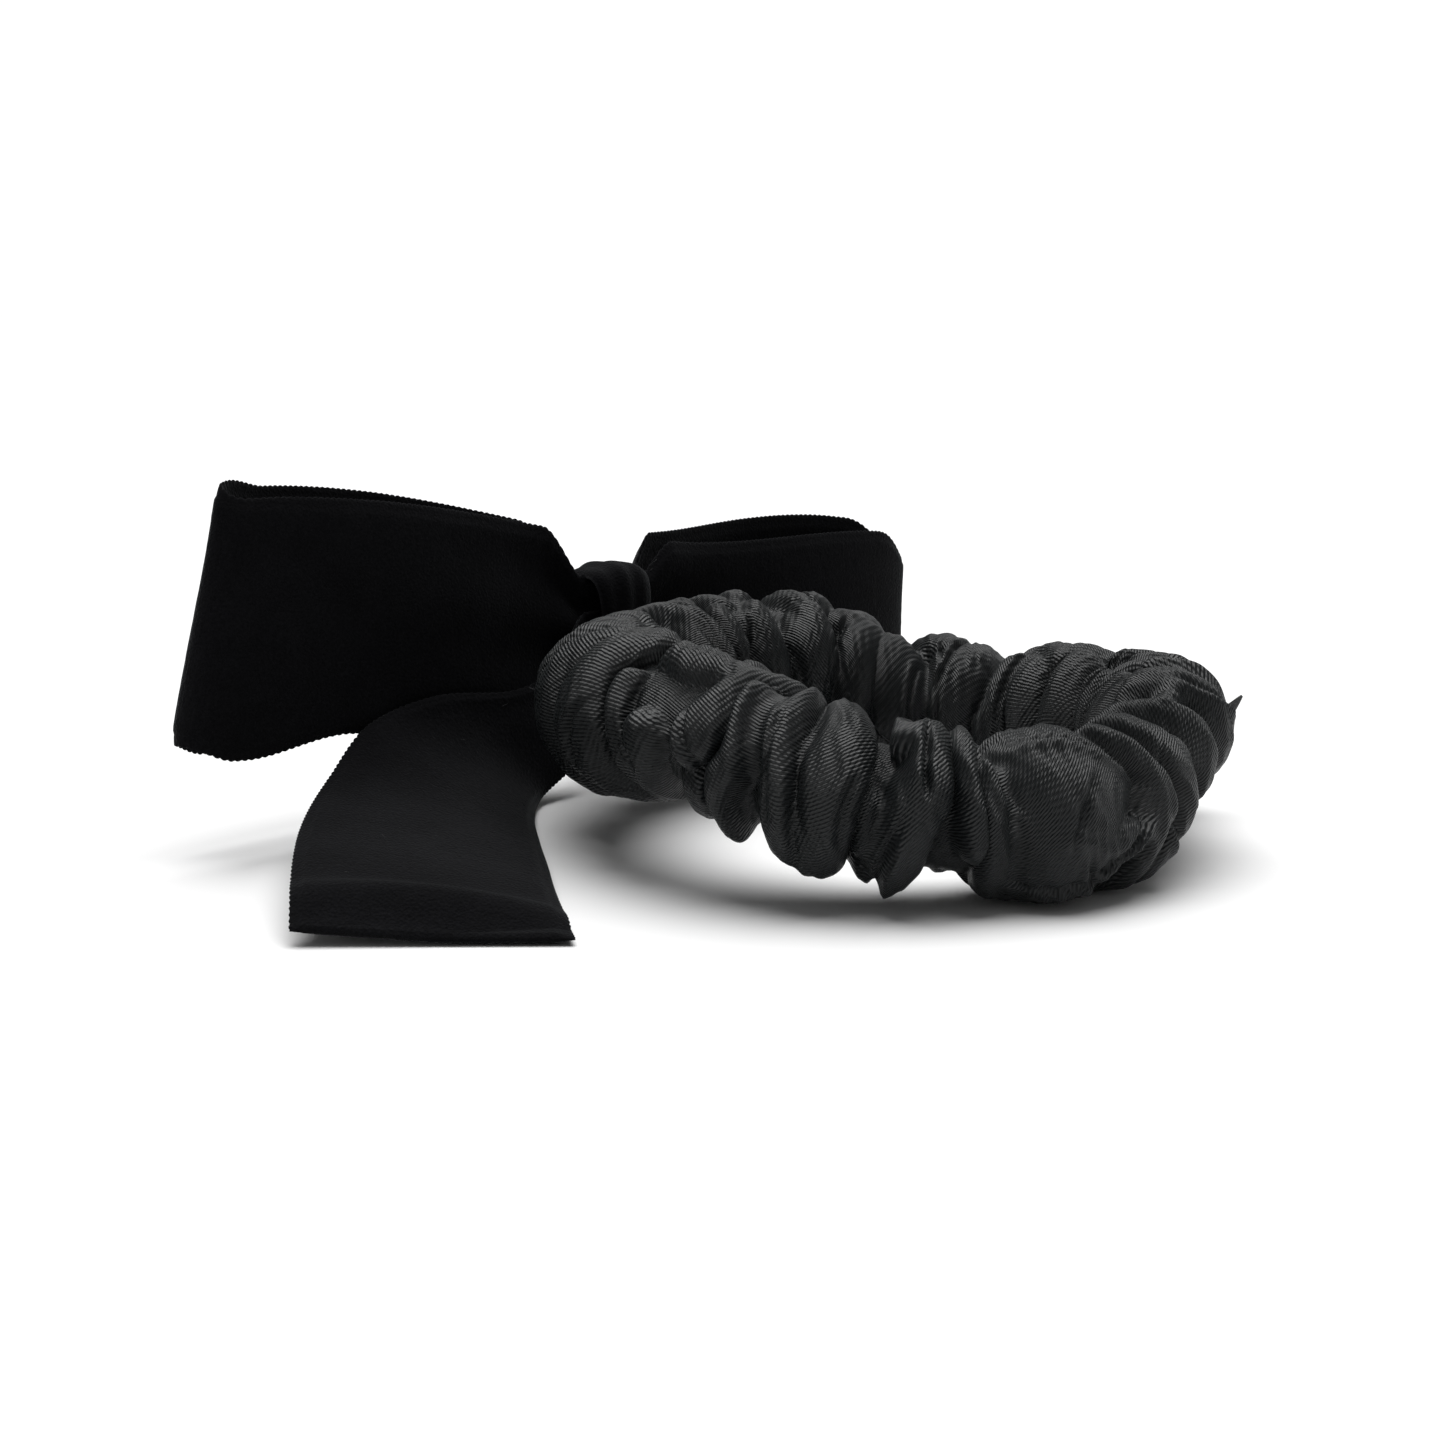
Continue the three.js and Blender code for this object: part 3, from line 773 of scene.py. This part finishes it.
def loopMiddle(side, middle, tipLean, tipDrop, openness, wave):
    # the path seen from above gives how far along and forward; the middle's height is a cubic through the
    # rows; the cross line leans outwards at the bottom by tipLean at the tip, and opens from the pinch
    rows = np.array(middle)
    share = np.linspace(0, 1, loops["along"])
    path = carryThrough(loopPath, share)
    reach = path[:, 0]
    along = reach * loops["length"]
    height = np.polyval(np.polyfit(rows[:, 0], rows[:, 1], 3), reach)
    spread = smooth(along, -1.2, 5.2)
    lean = np.radians(tipLean) * smooth(reach, 0.15, 1.0)
    w = ribbonColumns[None]
    full = 0.5 * (loops["coreHeight"] + (ribbon["width"] - loops["coreHeight"]) * spread)
    half = full[:, None] * w
    out = along[:, None] - half * np.sin(lean)[:, None]
    forward = np.where(path[:, 1] > 0, openness, 1) * path[:, 1]
    opened = 0.13 * openness ** 2 * forward[:, None] * np.maximum(w, 0) * spread[:, None]
    up = height[:, None] + half * np.cos(lean)[:, None] + opened
    # the lower edge hangs in a belly short of the tip, and the rolled corner stands up behind the top edge
    sag = (smooth(reach, 0.62, 0.88) * (1 - 0.75 * smooth(reach, 0.9, 1.02)))[:, None] * np.maximum(-w,
                                                                                                    0) ** 3
    rolled = (smooth(reach, 0.84, 0.97) * smooth(path[:, 1], -1.3, 1.6))[:, None] * np.maximum(w, 0) ** 4
    drop = tipDrop * (smooth(reach, 0.82, 1.0) ** 2)[:, None] * np.maximum(w, 0)
    up = up - loops["sag"] * sag + loops["rolled"] * rolled - drop
    # pleats that run out from the knot, and a slight bow across the width
    gather = np.exp(-np.clip(along, 0, None) / 8)[:, None]
    pleats = 0.9 * gather * np.sin(w * 7.5 + wave) * np.tanh(path[:, 1:] / 0.5)
    bow = 0.45 * (1 - w ** 2) * np.sin(np.pi * np.clip(path[:, :1], 0, 1)) * np.tanh(path[:, 1:] / 0.5)
    undulate = 0.28 * np.sin(share[:, None] * 21 + wave + 1.3 * w) * spread[:, None]
    y = loopsPlane - (forward[:, None] + pleats + bow + undulate)
    mid = np.stack([side * (rootX + out), y, np.maximum(bowHeight + up, ribbon["lowest"])], -1)
    # both ends run on into the knot
    steps = 26
    into = np.linspace(loops["hiddenLength"], 0, steps, endpoint=False)[:, None, None] * [-side, 0, 0]
    return np.concatenate([mid[:1] + into, mid, mid[-1:] + into[::-1]])


def makeLoop(name, side, middle, tipLean, tipDrop, openness, wave, node):
    # the sheet and its hairs, their placement baked into their meshes
    mid = loopMiddle(side, middle, tipLean, tipDrop, openness, wave)
    piece, length, face = ribbonSheet(name, mid, False, 31 + side)
    dress(piece, velvet)
    lintOnIt = ribbonLint(name + "_lint", face, 61 + side)
    for part in (piece, lintOnIt):
        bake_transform(part)
    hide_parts(node)


makeLoop("right_loop_ribbon", 1, loops["rightMiddle"], 15.0, 0.4, 1.0, 0.4, "right_loop")
makeLoop("left_loop_ribbon", -1, loops["leftMiddle"], -2.0, 3.6, 1.25, 1.9, "left_loop")
print("loops made")

# The edges' points: out from the middle, back from the tails' plane, and up.
tails = {
    "gathered": 10.8,  # mm, the ribbon's height where it leaves the knot
    "along": 460,
    "lower": [[7.4, 1.4, 6.6], [9.4, 2.8, 4], [16, 4.2, 1.2], [24, 11.6, 1.2], [31.2, 20.2, 1.3],
              [38, 28.8, 1.4],
              [44.8, 37.4, 1.3], [52.4, 48, 0.8]],
    "rightUpper": [[11.2, 1.2, 15.0], [18, 2, 13.3], [29, 2, 14.1], [38.4, 2.2, 12.3], [47.2, 6.6, 8.6],
                   [55.8, 13.8, 6.9],
                   [63.2, 21.8, 5.6], [69.8, 29.8, 2.6]],
    "leftUpper": [[11.2, 1.2, 18.4], [18, 2, 16.4], [30, 2, 13.2], [39.4, 2.2, 9.4], [48, 6.6, 6.8],
                  [55.8, 13.8, 5.2],
                  [63.2, 21.8, 4], [69.8, 29.8, 1.8]],
}


def tailMiddle(side, upper, wave):
    # straight across from the lower edge's curve to the upper edge's, bowed a little, with the cut end
    # turned down to the surface
    height = bowHeight + (tails["gathered"] - loops["coreHeight"]) / 2
    share = np.linspace(0, 1, tails["along"])
    edges = []
    for sign, rows in ((-1, tails["lower"]), (1, upper)):
        root = [rootX, 0, height + sign * tails["gathered"] / 2]
        edge = carryThrough([root] + rows, share)
        edges.append(np.stack([side * edge[:, 0], tailsPlane + edge[:, 1], edge[:, 2]], -1))
    w = (0.5 + 0.5 * ribbonColumns)[None, :, None]
    mid = edges[0][:, None] * (1 - w) + edges[1][:, None] * w
    bow = 4 * w[..., 0] * (1 - w[..., 0])
    fromRoot = share[:, None]
    lift = 0.7 * bow * smooth(fromRoot, 0.3, 0.7) * (1 - smooth(fromRoot, 0.95, 1.0))
    ridge = 0.8 * np.exp(-((fromRoot - 0.95) / 0.016) ** 2) * (0.4 + 0.6 * bow)
    curl = -1.1 * smooth(fromRoot, 0.96, 1.0)
    pleats = 0.6 * np.exp(-fromRoot / 0.12) * np.sin(w[..., 0] * 13 + wave)
    mid[..., 2] += lift + ridge + curl
    mid[..., 1] += pleats
    mid[..., 2] = np.maximum(mid[..., 2], ribbon["lowest"])
    steps = 22
    into = np.linspace(4.4, 0, steps, endpoint=False)[:, None, None] * [-side, 0, 0]
    return np.concatenate([mid[:1] + into, mid])


def makeTail(name, side, upper, wave, node):
    # the sheet and its hairs, their placement baked into their meshes
    piece, length, face = ribbonSheet(name, tailMiddle(side, upper, wave), True, 41 + side)
    dress(piece, velvet)
    lintOnIt = ribbonLint(name + "_lint", face, 71 + side)
    for part in (piece, lintOnIt):
        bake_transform(part)
    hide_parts(node)


makeTail("right_tail_ribbon", 1, tails["rightUpper"], 0.5, "right_tail")
makeTail("left_tail_ribbon", -1, tails["leftUpper"], 2.2, "left_tail")
print("tails made")

knot = {"width": 9.0, "back": -38.1, "front": -46.2, "low": 7.6, "high": 26.0, "wall": 1.0, "pleat": 0.24}


def makeKnot():
    # a closed band: a rounded rectangle seen from the side, carried across the knot's width, crowned at the
    # middle and drawn in at its two sides, with soft pleats along the wrap
    depth, tall = (knot["back"] - knot["front"]) / 2, (knot["high"] - knot["low"]) / 2
    middleY, middleZ = (knot["back"] + knot["front"]) / 2, (knot["high"] + knot["low"]) / 2
    turn = np.linspace(0, 2 * np.pi, 150, endpoint=False)[:, None]
    x = np.linspace(-1, 1, 40)
    x = np.concatenate([x, x[::-1]])[None]
    face = np.concatenate([np.ones(40), -np.ones(40)])[None]
    cosT, sinT = np.cos(turn), np.sin(turn)
    shape = (np.abs(cosT) ** 4 + np.abs(sinT) ** 4) ** -0.25
    crown = 1 - 0.10 * x ** 2
    pleats = knot["pleat"] * np.sin(x * 8.5 + 0.6 * np.sin(turn * 2)) * (1 - x ** 4)
    half = knot["wall"] / 2 * np.sqrt(np.maximum(1 - np.abs(x) ** 8, 0)) * face
    y = middleY + (depth - 0.5 + half + pleats * 0.5) * crown * cosT * shape
    z = middleZ + (tall - 0.5 + half + pleats * 0.5) * crown * sinT * shape
    spread = knot["width"] / 2 * (1 - 0.16 * np.abs(cosT) ** 3)
    return np.stack(np.broadcast_arrays(x * spread, y, z), -1)


knotPiece = gridPiece("velvet_knot_wrap", makeKnot(), True, True)
dress(knotPiece, velvet)
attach(knotPiece, "band_bow_side")
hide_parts("knot_wrap", "bow_center", "tails_center")

for name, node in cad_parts.items():
    if name in ("pinch_thread", "knot_wrap_stitch", "tack_stitch_right", "tack_stitch_left",
                "elastic_join_stitch"):
        node.data.materials.clear()
        node.data.materials.append(thread)
print("knot made")


def makeLint():
    # hairs at seeded places of the cover
    draw = np.random.default_rng(lint["seed"])
    grids = []
    for _ in range(lint["coverHairs"]):
        theta, phi = draw.uniform(-50, 160), draw.uniform(-20, 115)
        start = coverSurface(np.array([theta]), np.array([phi]), -0.02)[0]
        grids.append(lintHair(draw, start, unit(start - besideRing(theta, 0, 0))))
    return joinGrids("stray_lint_hairs", grids)


lintPiece = dress(makeLint(), thread)
stretchWithRing(lintPiece)

studio = {"floorSize": 8.0, "fill": 0.19, "key": 3.9, "keyAngle": 66.0, "keyFrom": (-0.2, -0.16, 1.0)}
view = {"lens": 58.1, "sensor": 36.0, "nearest": 0.01,
        "from": (0.1898, 0.1597, 0.0575), "heading": (-0.719, -0.670, -0.183)}


def makeStudio():
    # a white floor, one wide overhead light and an even fill
    half = studio["floorSize"] / 2
    corners = [(-half, -half, 0), (half, -half, 0), (half, half, 0), (-half, half, 0)]
    mesh = bpy.data.meshes.new("floor")
    mesh.from_pydata(corners, [], [(0, 1, 2, 3)])
    floor = bpy.data.objects.new("floor", mesh)
    bpy.context.scene.collection.objects.link(floor)
    material, _, shader = startMaterial("matte_white_paper_sweep")
    shader.inputs["Base Color"].default_value = toLinear("#eeeeee")
    shader.inputs["Roughness"].default_value = 0.9
    shader.inputs["Specular IOR Level"].default_value = 0.1
    mesh.materials.append(material)
    light = bpy.data.lights.new("overhead_softbox", "SUN")
    light.angle = float(np.radians(studio["keyAngle"]))
    light.energy = studio["key"]
    lamp = bpy.data.objects.new("overhead_softbox", light)
    lamp.location = studio["keyFrom"]
    lamp.rotation_euler = Vector(studio["keyFrom"]).to_track_quat("Z", "Y").to_euler()
    bpy.context.scene.collection.objects.link(lamp)
    world = bpy.data.worlds.new("white_room")
    bpy.context.scene.world = world
    world.use_nodes = True
    tree = world.node_tree
    background = tree.nodes["Background"]
    background.inputs[0].default_value = (1, 1, 1, 1)
    # full white where the camera sees it, the fill's strength as light
    seen = addNode(tree, "ShaderNodeLightPath").outputs["Is Camera Ray"]
    amount = addNode(tree, "ShaderNodeMath", {0: seen, 1: 1.02 - studio["fill"], 2: studio["fill"]},
                     operation="MULTIPLY_ADD").outputs[0]
    tree.links.new(amount, background.inputs[1])
    bpy.context.scene.view_settings.view_transform = "Standard"


def makeCamera():
    # its -Z axis is turned to the heading, with +Y kept upwards
    data = bpy.data.cameras.new("camera")
    data.lens = view["lens"]
    data.sensor_width = view["sensor"]
    data.clip_start = view["nearest"]
    camera = bpy.data.objects.new("camera", data)
    camera.location = view["from"]
    camera.rotation_euler = Vector(view["heading"]).to_track_quat("-Z", "Y").to_euler()
    bpy.context.scene.collection.objects.link(camera)
    bpy.context.scene.camera = camera


makeStudio()
makeCamera()
print("studio made")
